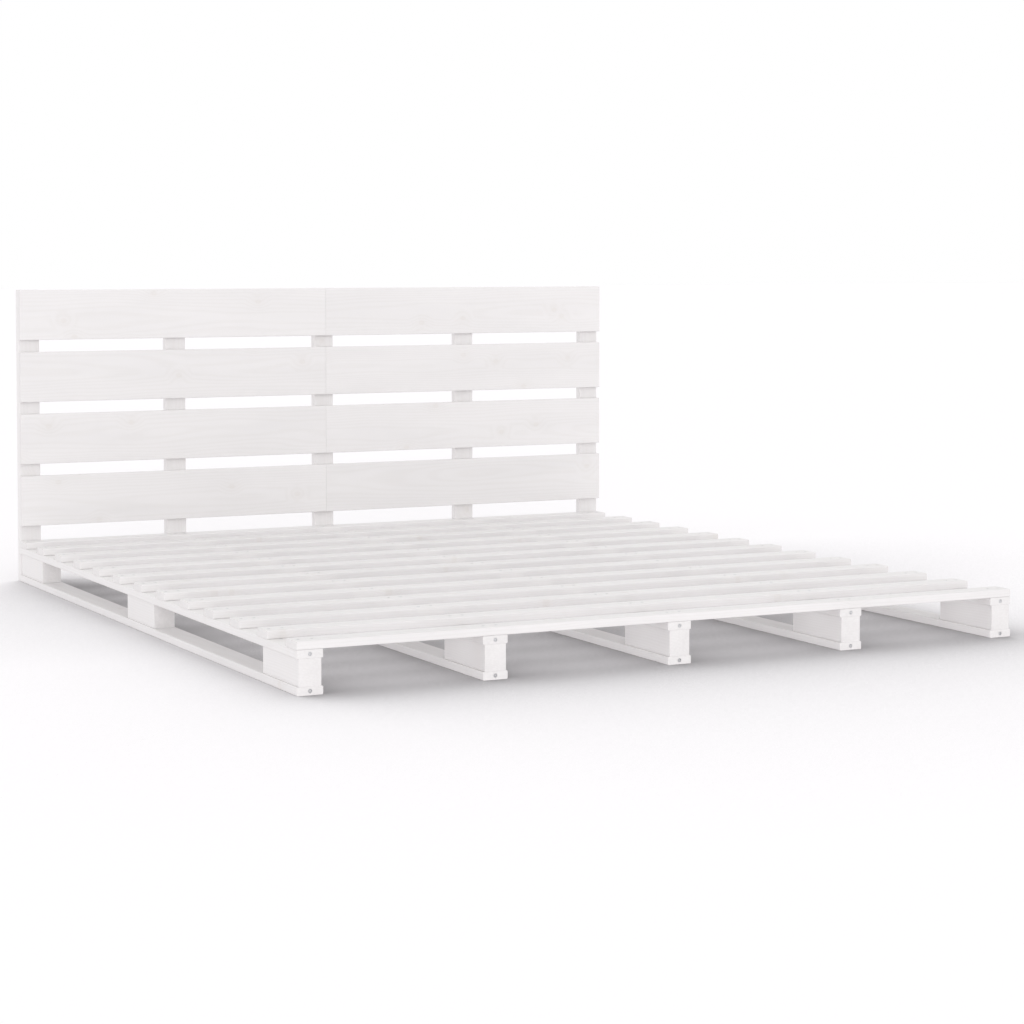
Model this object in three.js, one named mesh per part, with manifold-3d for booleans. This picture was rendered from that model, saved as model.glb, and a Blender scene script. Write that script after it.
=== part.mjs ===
// A low slatted pine bed frame with a boarded headboard, in millimetres, +Z up.
// X runs across the bed, +Y points to the head end, and the origin lies on the floor under the middle.
import * as THREE from "three";
import { mergeVertices } from "three/addons/utils/BufferGeometryUtils.js";
import Module from "manifold-3d";

// Overall sizes
const bedWidth = 1800;
const deckLength = 2010; // foot end to the front of the headboard
const headboardHeight = 800; // floor to the top board's upper edge

// Runners: bottom rail, three blocks, top rail
const railWidth = 58;
const railThickness = 18;
const blockWidth = 50;
const blockHeight = 58;
const blockLength = 200;

// Deck slats, laid across the runners
const slatWidth = 58;
const slatThickness = 18;

// Headboard: boards in front, uprights behind
const boardThickness = 18;
const boardSlot = 33; // open slot between two rows
const boardJoint = 0.3; // butt joint between the two boards of a row
const lowestBoardGap = 41; // deck top to the lowest board
const uprightWidth = 58;
const uprightThickness = 24;

// Eased edges
const edgeRadius = 2; // long edges of rails, slats, boards and uprights
const blockEdgeRadius = 1; // long edges of the blocks
const endEase = 0.6; // bevel round both sawn ends

// Coach screws that hold the uprights to the head blocks
const screwDiameter = 8;
const screwLength = 80; // below the head
const screwTipLength = 9;
const screwHeadDiameter = 17;
const screwHeadHeight = 3.2;
const screwBore = 9; // clear of the shank all round
const counterboreDiameter = 21;
const counterboreDepth = 5;
const boreRunout = 4; // bore left free past the screw's tip

// Round recesses for the fixings in the foot ends of the rails
const endRecessDiameter = 9;
const endRecessDepth = 1.2;

// Counts
const runnerCount = 5;
const deckSlatCount = 13;
const boardRowCount = 4;
const edgeSteps = 2; // facets in a quarter round
const turnSteps = 24; // facets round a bore or a screw

const cutOverrun = 2; // how far a cutter starts outside the face it enters

// Derived sizes and places
const runnerLength = deckLength + boardThickness;
const overallLength = runnerLength + uprightThickness;
const footEnd = -overallLength / 2;
const boardFront = footEnd + deckLength;
const uprightFront = footEnd + runnerLength;
const blockBase = railThickness;
const topRailBase = blockBase + blockHeight;
const deckBase = topRailBase + railThickness;
const lowestBoardBase = deckBase + slatThickness + lowestBoardGap;
const boardsAndSlots = headboardHeight - lowestBoardBase;
const boardWidth = (boardsAndSlots - (boardRowCount - 1) * boardSlot) / boardRowCount;

const wasm = await Module();
wasm.setup();

// Turns that lay a piece down: each names the axis that its grain runs along
const grainUp = new THREE.Matrix4();
const grainAlong = new THREE.Matrix4().makeBasis(
  new THREE.Vector3(-1, 0, 0),
  new THREE.Vector3(0, 0, 1),
  new THREE.Vector3(0, 1, 0),
);
const grainAcrossFlat = new THREE.Matrix4().makeBasis(
  new THREE.Vector3(0, 1, 0),
  new THREE.Vector3(0, 0, 1),
  new THREE.Vector3(1, 0, 0),
);
const grainAcrossOnEdge = new THREE.Matrix4().makeBasis(
  new THREE.Vector3(0, 0, -1),
  new THREE.Vector3(0, 1, 0),
  new THREE.Vector3(1, 0, 0),
);

function paintedPine() {
  return new THREE.MeshStandardMaterial({ color: 0xeeedeb, roughness: 0.5, metalness: 0 });
}

function zincSteel() {
  return new THREE.MeshStandardMaterial({ color: 0xb9bcc0, roughness: 0.35, metalness: 1 });
}

// A rectangle with rounded corners, centred on the origin
function roundedRectangle(width, height, radius) {
  const x = width / 2 - radius;
  const y = height / 2 - radius;
  const outline = new THREE.Shape();
  outline.absarc(x, y, radius, 0, Math.PI / 2);
  outline.absarc(-x, y, radius, Math.PI / 2, Math.PI);
  outline.absarc(-x, -y, radius, Math.PI, Math.PI * 1.5);
  outline.absarc(x, -y, radius, Math.PI * 1.5, Math.PI * 2);
  return outline;
}

// A planed piece centred on the origin: rounded section, eased ends, grain laid by the turn
function plank(width, thickness, length, radius, turn) {
  const body = new THREE.ExtrudeGeometry(roundedRectangle(width, thickness, radius), {
    depth: length - 2 * endEase,
    curveSegments: edgeSteps / 2, // an arc takes two facets for each
    bevelThickness: endEase,
    bevelSize: endEase,
    bevelOffset: -endEase,
    bevelSegments: 1,
  });
  body.translate(0, 0, endEase - length / 2);
  return body.applyMatrix4(turn);
}

// A turned form on the Y axis; its profile is a list of [radius, place along the axis]
function turned(profile) {
  return new THREE.LatheGeometry(
    profile.map(([radius, along]) => new THREE.Vector2(radius, along)),
    turnSteps,
  );
}

function solidOf(geometry) {
  const bare = geometry.clone();
  bare.deleteAttribute("normal");
  bare.deleteAttribute("uv");
  const merged = mergeVertices(bare);
  return new wasm.Manifold(
    new wasm.Mesh({
      numProp: 3,
      vertProperties: merged.attributes.position.array,
      triVerts: new Uint32Array(merged.index.array),
    }),
  );
}

function geometryOf(solid) {
  const { vertProperties, triVerts } = solid.getMesh();
  const geometry = new THREE.BufferGeometry();
  geometry.setAttribute("position", new THREE.BufferAttribute(vertProperties, 3));
  geometry.setIndex(new THREE.BufferAttribute(triVerts, 1));
  geometry.computeVertexNormals();
  return geometry;
}

function cut(geometry, cutter) {
  return geometryOf(solidOf(geometry).subtract(solidOf(cutter)));
}

function place(group, name, geometry, material, x, y, z) {
  const mesh = new THREE.Mesh(geometry, material);
  mesh.name = name;
  mesh.position.set(x, y, z);
  group.add(mesh);
  return mesh;
}

// Outer runners stand flush with the bed's sides, inner ones on equal shares of its width
function runnerCentre(index) {
  const last = runnerCount - 1;
  const even = bedWidth * (index / last - 1 / 2);
  const inset = railWidth / 2;
  return Math.min(Math.max(even, inset - bedWidth / 2), bedWidth / 2 - inset);
}

// A rail lies flat under or over the blocks, with a round recess in the middle of its foot end
function railGeometry() {
  const rail = plank(railWidth, railThickness, runnerLength, edgeRadius, grainAlong);
  const recess = turned([
    [0, -cutOverrun],
    [endRecessDiameter / 2, -cutOverrun],
    [endRecessDiameter / 2, endRecessDepth],
    [0, endRecessDepth],
  ]);
  return cut(rail, recess.translate(0, -runnerLength / 2, 0));
}

function blockGeometry() {
  return plank(blockWidth, blockHeight, blockLength, blockEdgeRadius, grainAlong);
}

// The head block is bored from its head end for the upright's coach screw
function headBlockGeometry() {
  const entered = screwLength - (uprightThickness - counterboreDepth);
  const bore = turned([
    [0, -entered - boreRunout],
    [screwBore / 2, -entered - boreRunout],
    [screwBore / 2, cutOverrun],
    [0, cutOverrun],
  ]);
  return cut(blockGeometry(), bore.translate(0, blockLength / 2, 0));
}

// One runner: bottom rail, foot, middle and head block, top rail
function runner(index) {
  const group = new THREE.Group();
  const prefix = `runner_${index + 1}`;
  const railCentre = footEnd + runnerLength / 2;
  const blockCentre = blockBase + blockHeight / 2;
  const blockAtFoot = footEnd + blockLength / 2;
  const blockAtMiddle = footEnd + deckLength / 2;
  const blockAtHead = uprightFront - blockLength / 2;
  const pine = paintedPine();
  place(group, `${prefix}_bottom_rail`, railGeometry(), pine, 0, railCentre, railThickness / 2);
  place(group, `${prefix}_foot_block`, blockGeometry(), pine, 0, blockAtFoot, blockCentre);
  place(group, `${prefix}_middle_block`, blockGeometry(), pine, 0, blockAtMiddle, blockCentre);
  place(group, `${prefix}_head_block`, headBlockGeometry(), pine, 0, blockAtHead, blockCentre);
  place(group, `${prefix}_top_rail`, railGeometry(), pine, 0, railCentre, topRailBase + railThickness / 2);
  group.position.x = runnerCentre(index);
  return group;
}

// The deck: slats across all runners, the first and last flush with the runners' ends
function deck() {
  const group = new THREE.Group();
  const pitch = (runnerLength - slatWidth) / (deckSlatCount - 1);
  const first = footEnd + slatWidth / 2;
  for (let i = 0; i < deckSlatCount; i++) {
    const slat = plank(slatWidth, slatThickness, bedWidth, edgeRadius, grainAcrossFlat);
    const name = `deck_slat_${String(i + 1).padStart(2, "0")}`;
    place(group, name, slat, paintedPine(), 0, first + i * pitch, deckBase + slatThickness / 2);
  }
  return group;
}

// An upright stands on the floor and is bored for its coach screw, whose head is sunk in its back
function uprightGeometry() {
  const upright = plank(uprightWidth, uprightThickness, headboardHeight, edgeRadius, grainUp);
  const seat = uprightThickness / 2 - counterboreDepth;
  const bore = turned([
    [0, -uprightThickness / 2 - cutOverrun],
    [screwBore / 2, -uprightThickness / 2 - cutOverrun],
    [screwBore / 2, seat],
    [counterboreDiameter / 2, seat],
    [counterboreDiameter / 2, uprightThickness / 2 + cutOverrun],
    [0, uprightThickness / 2 + cutOverrun],
  ]);
  const boreHeight = blockBase + blockHeight / 2;
  return cut(upright, bore.translate(0, 0, boreHeight - headboardHeight / 2));
}

// A coach screw along Y with its tip towards the foot end and its seat at the origin
function coachScrewGeometry() {
  const shank = screwDiameter / 2;
  const head = screwHeadDiameter / 2;
  return turned([
    [0, -screwLength],
    [shank, screwTipLength - screwLength],
    [shank, 0],
    [head, 0],
    [head, screwHeadHeight / 2],
    [head - screwHeadHeight / 2, screwHeadHeight],
    [0, screwHeadHeight],
  ]);
}

// The headboard: uprights behind the runners, with rows of two butted boards on their front faces
function headboard() {
  const group = new THREE.Group();
  const pine = paintedPine();
  const uprightCentre = uprightFront + uprightThickness / 2;
  const screwSeat = uprightFront + uprightThickness - counterboreDepth;
  const screwHeight = blockBase + blockHeight / 2;
  for (let i = 0; i < runnerCount; i++) {
    const x = runnerCentre(i);
    const name = `headboard_upright_${i + 1}`;
    place(group, name, uprightGeometry(), pine, x, uprightCentre, headboardHeight / 2);
    place(group, `headboard_screw_${i + 1}`, coachScrewGeometry(), zincSteel(), x, screwSeat, screwHeight);
  }
  const boardLength = (bedWidth - boardJoint) / 2;
  const boardCentre = (boardJoint + boardLength) / 2;
  for (let row = 0; row < boardRowCount; row++) {
    const z = headboardHeight - boardWidth / 2 - row * (boardWidth + boardSlot);
    for (const [side, sign] of [["left", -1], ["right", 1]]) {
      const board = plank(boardWidth, boardThickness, boardLength, edgeRadius, grainAcrossOnEdge);
      const name = `headboard_board_${row + 1}_${side}`;
      const x = sign * boardCentre;
      place(group, name, board, paintedPine(), x, boardFront + boardThickness / 2, z);
    }
  }
  return group;
}

const bedFrame = new THREE.Group();
for (let i = 0; i < runnerCount; i++) {
  bedFrame.add(runner(i));
}
bedFrame.add(deck());
bedFrame.add(headboard());

export default bedFrame;
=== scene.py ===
"""A low slatted bed frame of white-painted pine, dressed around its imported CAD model.

The bed stands on five runners (bottom rail, blocks, top rail), carries a deck of slats, and has a
headboard of boards on uprights. Lengths are in metres: X runs across the bed, +Y points to the
head end, Z is up, and the origin lies on the floor under the middle.
"""

import logging
import math
from collections.abc import Iterable, Sequence
from dataclasses import dataclass
from enum import Enum

import bmesh
import bpy
from mathutils import Matrix, Vector

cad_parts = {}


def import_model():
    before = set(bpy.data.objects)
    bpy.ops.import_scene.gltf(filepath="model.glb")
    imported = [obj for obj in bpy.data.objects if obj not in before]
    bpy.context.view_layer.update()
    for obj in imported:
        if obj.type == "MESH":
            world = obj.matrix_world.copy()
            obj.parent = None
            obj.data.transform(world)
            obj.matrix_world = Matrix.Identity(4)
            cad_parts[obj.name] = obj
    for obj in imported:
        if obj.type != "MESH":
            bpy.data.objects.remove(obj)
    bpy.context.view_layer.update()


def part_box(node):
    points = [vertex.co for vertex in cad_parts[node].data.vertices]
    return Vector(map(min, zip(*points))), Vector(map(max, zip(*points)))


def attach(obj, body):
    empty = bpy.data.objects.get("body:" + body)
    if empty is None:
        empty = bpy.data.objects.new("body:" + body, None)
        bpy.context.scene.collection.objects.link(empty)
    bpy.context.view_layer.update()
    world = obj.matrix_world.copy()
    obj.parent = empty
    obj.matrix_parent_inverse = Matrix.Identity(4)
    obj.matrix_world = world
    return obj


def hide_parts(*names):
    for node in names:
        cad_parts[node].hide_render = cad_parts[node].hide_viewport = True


LOG = logging.getLogger("bed_frame")

MM = 0.001
BODY = "root"

RUNNER_COUNT = 5
SLAT_COUNT = 13
BOARD_ROW_COUNT = 4

QUARTER_TURN = math.pi / 2
OVERRUN = 1 * MM  # how far a cutter starts or ends outside the wood
NOISE_SPAN = (0.3, 0.7)  # the span that most of a noise's values fill
NOISE_ROUGHNESS = 0.55  # how much each finer layer of a noise adds
SAWN_SLANT = 0.5  # a face that looks along its board by more than this is sawn
RECESS_POINTS = 12  # round a cross recess: two corners and a notch for each arm

# Numbers of sockets whose names their node uses more than once
MIX_SHARE, MIX_FIRST, MIX_SECOND, MIX_COLOUR = 0, 6, 7, 2
RANDOM_MOST, RANDOM_NUMBER = 3, 1

Colour = tuple[float, float, float, float]
Triple = tuple[float, float, float]
Span = tuple[float, float]
Socket = bpy.types.NodeSocket
Inputs = dict[str | int, object]
Shell = bmesh.types.BMesh
Ring = Sequence[bmesh.types.BMVert]
Profile = tuple[tuple[float, float], ...]
Box = tuple[Vector, Vector]


class Lay(Enum):
    """How a board lies: the axes that its length, width and face side point along."""

    SLAT = ((1, 0, 0), (0, 1, 0), (0, 0, 1))
    RAIL = ((0, 1, 0), (-1, 0, 0), (0, 0, 1))
    UPRIGHT = ((0, 0, 1), (1, 0, 0), (0, 1, 0))
    BOARD = ((1, 0, 0), (0, 0, 1), (0, -1, 0))

    def turn(self) -> Matrix:
        """Returns the matrix that turns a board from its own axes to the bed's."""
        return Matrix([Vector(axis) for axis in self.value]).transposed().to_4x4()

    def order(self) -> list[int]:
        """Returns the bed's axis numbers for length, width and thickness."""
        return [[abs(part) for part in axis].index(1) for axis in self.value]


class Facing(Enum):
    """The way that a fixing's head looks, as a turn from looking up."""

    UP = (0.0, 0.0, 0.0)
    DOWN = (math.pi, 0.0, 0.0)
    TO_FOOT = (QUARTER_TURN, 0.0, 0.0)
    TO_HEAD = (-QUARTER_TURN, 0.0, 0.0)


@dataclass
class Wiring:
    """Adds nodes to one node tree and joins their sockets.

    Attributes:
        tree: the tree that the nodes go into.
    """

    tree: bpy.types.NodeTree

    def node(
        self, kind: str, inputs: Inputs | None = None, **settings: object
    ) -> bpy.types.Node:
        """Adds one node.

        Args:
            kind: the node's type name.
            inputs: what each input gets, by name or number: a socket to join, or a value.
            settings: the node's own properties.

        Returns:
            The new node.
        """
        node = self.tree.nodes.new(kind)
        for name, value in settings.items():
            setattr(node, name, value)
        for key, value in (inputs or {}).items():
            self.feed(node.inputs[key], value)
        return node

    def feed(self, entry: Socket, value: object) -> None:
        """Joins a socket to an input, or sets the input to a value.

        Args:
            entry: the input.
            value: the socket or the value.
        """
        if isinstance(value, Socket):
            self.tree.links.new(value, entry)
        else:
            entry.default_value = value

    def maths(self, operation: str, *values: Socket | float) -> Socket:
        """Adds a Math node on the given values and returns its output."""
        inputs = dict(enumerate(values))
        return self.node("ShaderNodeMath", inputs, operation=operation).outputs[0]

    def vector(self, operation: str, *values: Socket | Sequence[float]) -> bpy.types.Node:
        """Adds a Vector Math node on the given values and returns the node."""
        return self.node("ShaderNodeVectorMath", dict(enumerate(values)), operation=operation)

    def attribute(self, name: str, kind: str) -> Socket:
        """Adds a node that reads an attribute, and returns its output of the given kind."""
        return self.node("ShaderNodeAttribute", attribute_name=name).outputs[kind]

    def spread(self, value: Socket, low: float, high: float, to: Span) -> Socket:
        """Maps a value smoothly from one range to another.

        Args:
            value: the value to map.
            low: the input that gives the first end of `to`.
            high: the input that gives its second end.
            to: the range of the result.

        Returns:
            The mapped value.
        """
        inputs = {"Value": value, "From Min": low, "From Max": high}
        inputs |= {"To Min": to[0], "To Max": to[1]}
        node = self.node("ShaderNodeMapRange", inputs, interpolation_type="SMOOTHSTEP")
        return node.outputs["Result"]

    def noise(self, place: Socket, fineness: Triple, detail: float = 2.0) -> Socket:
        """Adds noise of its own fineness on each axis.

        Args:
            place: the place that the noise is read at.
            fineness: its fineness per metre on the three axes.
            detail: how many finer layers it has.

        Returns:
            The noise's value.
        """
        scaled = self.vector("MULTIPLY", place, fineness).outputs[0]
        inputs = {"Vector": scaled, "Scale": 1.0, "Detail": detail, "Roughness": NOISE_ROUGHNESS}
        return self.node("ShaderNodeTexNoise", inputs).outputs["Fac"]

    def blend(self, share: Socket, first: Socket | Colour, second: Socket | Colour) -> Socket:
        """Mixes two colours by a share and returns the result."""
        inputs = {MIX_SHARE: share, MIX_FIRST: first, MIX_SECOND: second}
        return self.node("ShaderNodeMix", inputs, data_type="RGBA").outputs[MIX_COLOUR]


def colour(red: float, green: float, blue: float) -> Colour:
    """Returns an opaque linear colour."""
    return red, green, blue, 1.0


def new_material(name: str) -> tuple[bpy.types.Material, Wiring, bpy.types.Node]:
    """Makes a material.

    Args:
        name: the material's name.

    Returns:
        The material, the wiring of its tree, and its shader node.
    """
    material = bpy.data.materials.new(name)
    material.use_nodes = True
    return material, Wiring(material.node_tree), material.node_tree.nodes["Principled BSDF"]


@dataclass(frozen=True)
class PineFigure:
    """The figure of flat-sawn pine: growth rings that bend round knots.

    Finenesses are given per metre along, across and through the board.

    Attributes:
        ring_pitch: the width of a growth ring.
        ring_depth: how dark the late wood's band is, as the power of a wave.
        pith_depth: how far the tree's middle lies from a board's middle, at least.
        log_reach: how far from each other boards come out of the log, along, across and through.
        warp_fineness: the fineness of the rings' waviness.
        warp: the height of that waviness.
        knot_fineness: the number of knots per metre.
        knot_stretch: how much finer the knots' pattern is across the board than along it.
        knot_rim: the knot's edge, from full to gone, as shares of the knots' distance.
        halo_rim: the same for the bent wood round it.
        halo_bend: how far the rings bend round a knot.
        wobble_fineness: the fineness of the knots' unevenness.
        wobble: its height, as a share of the knots' distance.
    """

    ring_pitch: float = 5.5 * MM
    ring_depth: float = 2.2
    pith_depth: float = 45 * MM
    log_reach: Triple = (40.0, 50 * MM, 50 * MM)
    warp_fineness: Triple = (1.3, 8.0, 8.0)
    warp: float = 42 * MM
    knot_fineness: float = 4.2
    knot_stretch: float = 1.35
    knot_rim: Span = (0.035, 0.06)
    halo_rim: Span = (0.03, 0.21)
    halo_bend: float = 9 * MM
    wobble_fineness: Triple = (60.0, 60.0, 60.0)
    wobble: float = 0.02

    def place(self, wiring: Wiring, lay: Lay, luck: Socket) -> Socket:
        """Finds where in the log a point of a board lies.

        Args:
            wiring: the wiring of the finish.
            lay: how the board lies.
            luck: the board's own random vector.

        Returns:
            The place along, across and through the board, measured from the pith.
        """
        objects = wiring.node("ShaderNodeTexCoord").outputs["Object"]
        local = wiring.vector("SUBTRACT", objects, wiring.attribute("home", "Vector")).outputs[0]
        parts = wiring.node("ShaderNodeSeparateXYZ", {"Vector": local}).outputs
        inputs = {slot: parts[axis] for slot, axis in enumerate(lay.order())}
        board = wiring.node("ShaderNodeCombineXYZ", inputs).outputs[0]
        start = (0.0, -self.log_reach[1] / 2, self.pith_depth)
        in_log = wiring.vector("MULTIPLY_ADD", luck, self.log_reach, start).outputs[0]
        return wiring.vector("ADD", board, in_log).outputs[0]

    def knots(self, wiring: Wiring, place: Socket) -> tuple[Socket, Socket]:
        """Scatters knots over the log.

        Args:
            wiring: the wiring of the finish.
            place: the place in the log.

        Returns:
            Two masks: the knot itself, and the wood that bends round it.
        """
        flat = wiring.vector("MULTIPLY", place, (1.0, self.knot_stretch, 0.0)).outputs[0]
        inputs = {"Vector": flat, "Scale": self.knot_fineness}
        cell = wiring.node("ShaderNodeTexVoronoi", inputs, voronoi_dimensions="2D")
        uneven = wiring.noise(place, self.wobble_fineness)
        distance = wiring.maths("MULTIPLY_ADD", uneven, self.wobble, cell.outputs["Distance"])
        knot = wiring.spread(distance, *self.knot_rim, (1.0, 0.0))
        halo = wiring.spread(distance, *self.halo_rim, (1.0, 0.0))
        return knot, halo

    def rings(self, wiring: Wiring, place: Socket, halo: Socket) -> Socket:
        """Lays the growth rings round the pith.

        Args:
            wiring: the wiring of the finish.
            place: the place in the log.
            halo: the mask of the wood round knots.

        Returns:
            How dark the ring is at that place, from 0 to 1.
        """
        section = wiring.vector("MULTIPLY", place, (0.0, 1.0, 1.0)).outputs[0]
        radius = wiring.vector("LENGTH", section).outputs["Value"]
        warping = wiring.noise(place, self.warp_fineness)
        radius = wiring.maths("MULTIPLY_ADD", warping, self.warp, radius)
        radius = wiring.maths("MULTIPLY_ADD", halo, self.halo_bend, radius)
        wave = wiring.maths("SINE", wiring.maths("MULTIPLY", radius, math.tau / self.ring_pitch))
        return wiring.maths("POWER", wiring.spread(wave, -1.0, 1.0, (0.0, 1.0)), self.ring_depth)


@dataclass(frozen=True)
class WoodMarks:
    """The patterns that the painted finish is mixed from, as sockets with values from 0 to 1.

    Attributes:
        luck: the board's own random vector.
        sawn: 1 on sawn ends.
        knot: the knots.
        halo: the bent wood round them.
        ring: the dark bands of the growth rings.
        fibre: the fine fibres along the grain.
        brush: the marks of the brush.
        cloud: slow unevenness of the coat.
        pores: the open pores of end grain.
    """

    luck: Socket
    sawn: Socket
    knot: Socket
    halo: Socket
    ring: Socket
    fibre: Socket
    brush: Socket
    cloud: Socket
    pores: Socket


@dataclass(frozen=True)
class PaintedPine:
    """White satin paint on planed pine, through which grain and knots show faintly.

    Finenesses are given per metre along, across and through the board.

    Attributes:
        lay: how the boards lie, which gives the grain its direction.
        figure: the wood's figure.
        paint: the paint on plain wood.
        late_tint: the paint over the dark part of a growth ring.
        knot_tint: the paint over a knot.
        end_tint: the paint that has sunk into a sawn end.
        fibre_fineness: the fineness of the fibres.
        brush_fineness: the fineness of the brush marks.
        cloud_fineness: the fineness of the coat's unevenness.
        pore_fineness: the fineness of the end grain's pores.
        late_share: how far rings show, where fibres cover and where they let through.
        knot_share: how far knots show.
        halo_share: how far the wood round them shows.
        sunk_share: how far paint has sunk into an end, between and in its pores.
        board_tones: the range of brightness from board to board.
        cloud_tones: the range of brightness that the coat's unevenness adds.
        gloss: the range of roughness.
        end_dullness: the roughness that sawn ends add.
        ring_dullness: the roughness that rings add.
        relief: the height of the raised grain.
        relief_strength: how strongly it shows.
        ring_rise, fibre_rise, brush_rise, knot_rise, end_rise: the parts of that height.
    """

    lay: Lay
    figure: PineFigure = PineFigure()
    paint: Colour = colour(0.812, 0.794, 0.794)
    late_tint: Colour = colour(0.788, 0.768, 0.762)
    knot_tint: Colour = colour(0.71, 0.668, 0.632)
    end_tint: Colour = colour(0.765, 0.746, 0.743)
    fibre_fineness: Triple = (7.0, 650.0, 650.0)
    brush_fineness: Triple = (3.0, 210.0, 90.0)
    cloud_fineness: Triple = (2.5, 14.0, 14.0)
    pore_fineness: Triple = (40.0, 170.0, 170.0)
    late_share: Span = (0.35, 0.85)
    knot_share: float = 0.24
    halo_share: float = 0.10
    sunk_share: Span = (0.12, 0.85)
    board_tones: Span = (0.966, 0.98)
    cloud_tones: Span = (-0.015, 0.015)
    gloss: Span = (0.4, 0.5)
    end_dullness: float = 0.16
    ring_dullness: float = 0.05
    relief: float = 0.16 * MM
    relief_strength: float = 0.55
    ring_rise: float = 0.5
    fibre_rise: float = 0.55
    brush_rise: float = 0.6
    knot_rise: float = -0.7
    end_rise: float = 1.6

    def material(self) -> bpy.types.Material:
        """Builds the material, which reads the boards' own attributes home, luck and sawn.

        Returns:
            The material.
        """
        material, wiring, shader = new_material(f"painted_pine_{self.lay.name.lower()}")
        marks = self._marks(wiring)
        late = wiring.spread(marks.fibre, *NOISE_SPAN, self.late_share)
        streaks = wiring.maths("MULTIPLY", marks.ring, late)
        wiring.feed(shader.inputs["Base Color"], self._colour(wiring, marks, streaks))
        wiring.feed(shader.inputs["Roughness"], self._roughness(wiring, marks, streaks))
        wiring.feed(shader.inputs["Normal"], self._normal(wiring, marks))
        return material

    def _marks(self, wiring: Wiring) -> WoodMarks:
        """Adds the nodes of the patterns.

        Args:
            wiring: the wiring of the finish.

        Returns:
            Their outputs.
        """
        luck = wiring.attribute("luck", "Vector")
        place = self.figure.place(wiring, self.lay, luck)
        knot, halo = self.figure.knots(wiring, place)
        return WoodMarks(
            luck=luck,
            sawn=wiring.attribute("sawn", "Fac"),
            knot=knot,
            halo=halo,
            ring=self.figure.rings(wiring, place, halo),
            fibre=wiring.noise(place, self.fibre_fineness, detail=3.0),
            brush=wiring.noise(place, self.brush_fineness),
            cloud=wiring.noise(place, self.cloud_fineness, detail=3.0),
            pores=wiring.noise(place, self.pore_fineness, detail=4.0),
        )

    def _colour(self, wiring: Wiring, marks: WoodMarks, streaks: Socket) -> Socket:
        """Mixes the paint's colour over rings, knots and ends, with the board's own tone.

        Args:
            wiring: the wiring of the finish.
            marks: the patterns.
            streaks: how far rings show.

        Returns:
            The colour.
        """
        sunk = wiring.spread(marks.pores, *NOISE_SPAN, self.sunk_share)
        tint = wiring.blend(streaks, self.paint, self.late_tint)
        for mark, share, over in (
            (marks.knot, self.knot_share, self.knot_tint),
            (marks.halo, self.halo_share, self.knot_tint),
            (marks.sawn, sunk, self.end_tint),
        ):
            tint = wiring.blend(wiring.maths("MULTIPLY", mark, share), tint, over)
        chance = wiring.node("ShaderNodeSeparateXYZ", {"Vector": marks.luck}).outputs["Y"]
        own = wiring.spread(chance, 0.0, 1.0, self.board_tones)
        clouded = wiring.spread(marks.cloud, *NOISE_SPAN, self.cloud_tones)
        shade = wiring.vector("SCALE", tint)
        wiring.feed(shade.inputs["Scale"], wiring.maths("ADD", own, clouded))
        return shade.outputs[0]

    def _roughness(self, wiring: Wiring, marks: WoodMarks, streaks: Socket) -> Socket:
        """Mixes the paint's roughness.

        Args:
            wiring: the wiring of the finish.
            marks: the patterns.
            streaks: how far rings show.

        Returns:
            The roughness.
        """
        satin = wiring.spread(marks.cloud, *NOISE_SPAN, self.gloss)
        satin = wiring.maths("MULTIPLY_ADD", marks.sawn, self.end_dullness, satin)
        return wiring.maths("MULTIPLY_ADD", streaks, self.ring_dullness, satin)

    def _normal(self, wiring: Wiring, marks: WoodMarks) -> Socket:
        """Raises the grain.

        Args:
            wiring: the wiring of the finish.
            marks: the patterns.

        Returns:
            The surface's normal.
        """
        height = wiring.maths("MULTIPLY", marks.ring, self.ring_rise)
        for mark, rise in (
            (marks.fibre, self.fibre_rise),
            (marks.brush, self.brush_rise),
            (marks.knot, self.knot_rise),
            (wiring.maths("MULTIPLY", marks.sawn, marks.pores), self.end_rise),
        ):
            height = wiring.maths("MULTIPLY_ADD", mark, rise, height)
        inputs = {"Height": height, "Strength": self.relief_strength, "Distance": self.relief}
        return wiring.node("ShaderNodeBump", inputs).outputs[0]


@dataclass(frozen=True)
class ZincPlate:
    """Bright zinc plate on screws: pale grey, with a fine uneven haze.

    Attributes:
        name: the material's name.
        bright: the plate where it is clean.
        dull: the plate under haze.
        gloss: the range of roughness.
        haze_fineness: the haze's fineness per metre.
        speck_fineness: the fineness of the plate's specks.
        speck_height: how high they stand.
        speck_strength: how strongly they show.
    """

    name: str = "zinc_plate"
    bright: Colour = colour(0.74, 0.745, 0.755)
    dull: Colour = colour(0.58, 0.59, 0.605)
    gloss: Span = (0.3, 0.46)
    haze_fineness: Triple = (420.0, 420.0, 420.0)
    speck_fineness: Triple = (2600.0, 2600.0, 2600.0)
    speck_height: float = 0.04 * MM
    speck_strength: float = 0.3

    def material(self) -> bpy.types.Material:
        """Builds the material.

        Returns:
            The material.
        """
        material, wiring, shader = new_material(self.name)
        place = wiring.node("ShaderNodeTexCoord").outputs["Object"]
        haze = wiring.noise(place, self.haze_fineness, detail=3.0)
        specks = wiring.noise(place, self.speck_fineness)
        share = wiring.spread(haze, *NOISE_SPAN, (0.0, 1.0))
        inputs = {"Height": specks, "Strength": self.speck_strength, "Distance": self.speck_height}
        wiring.feed(shader.inputs["Metallic"], 1.0)
        wiring.feed(shader.inputs["Base Color"], wiring.blend(share, self.bright, self.dull))
        wiring.feed(shader.inputs["Roughness"], wiring.spread(haze, *NOISE_SPAN, self.gloss))
        wiring.feed(shader.inputs["Normal"], wiring.node("ShaderNodeBump", inputs).outputs[0])
        return material


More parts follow.
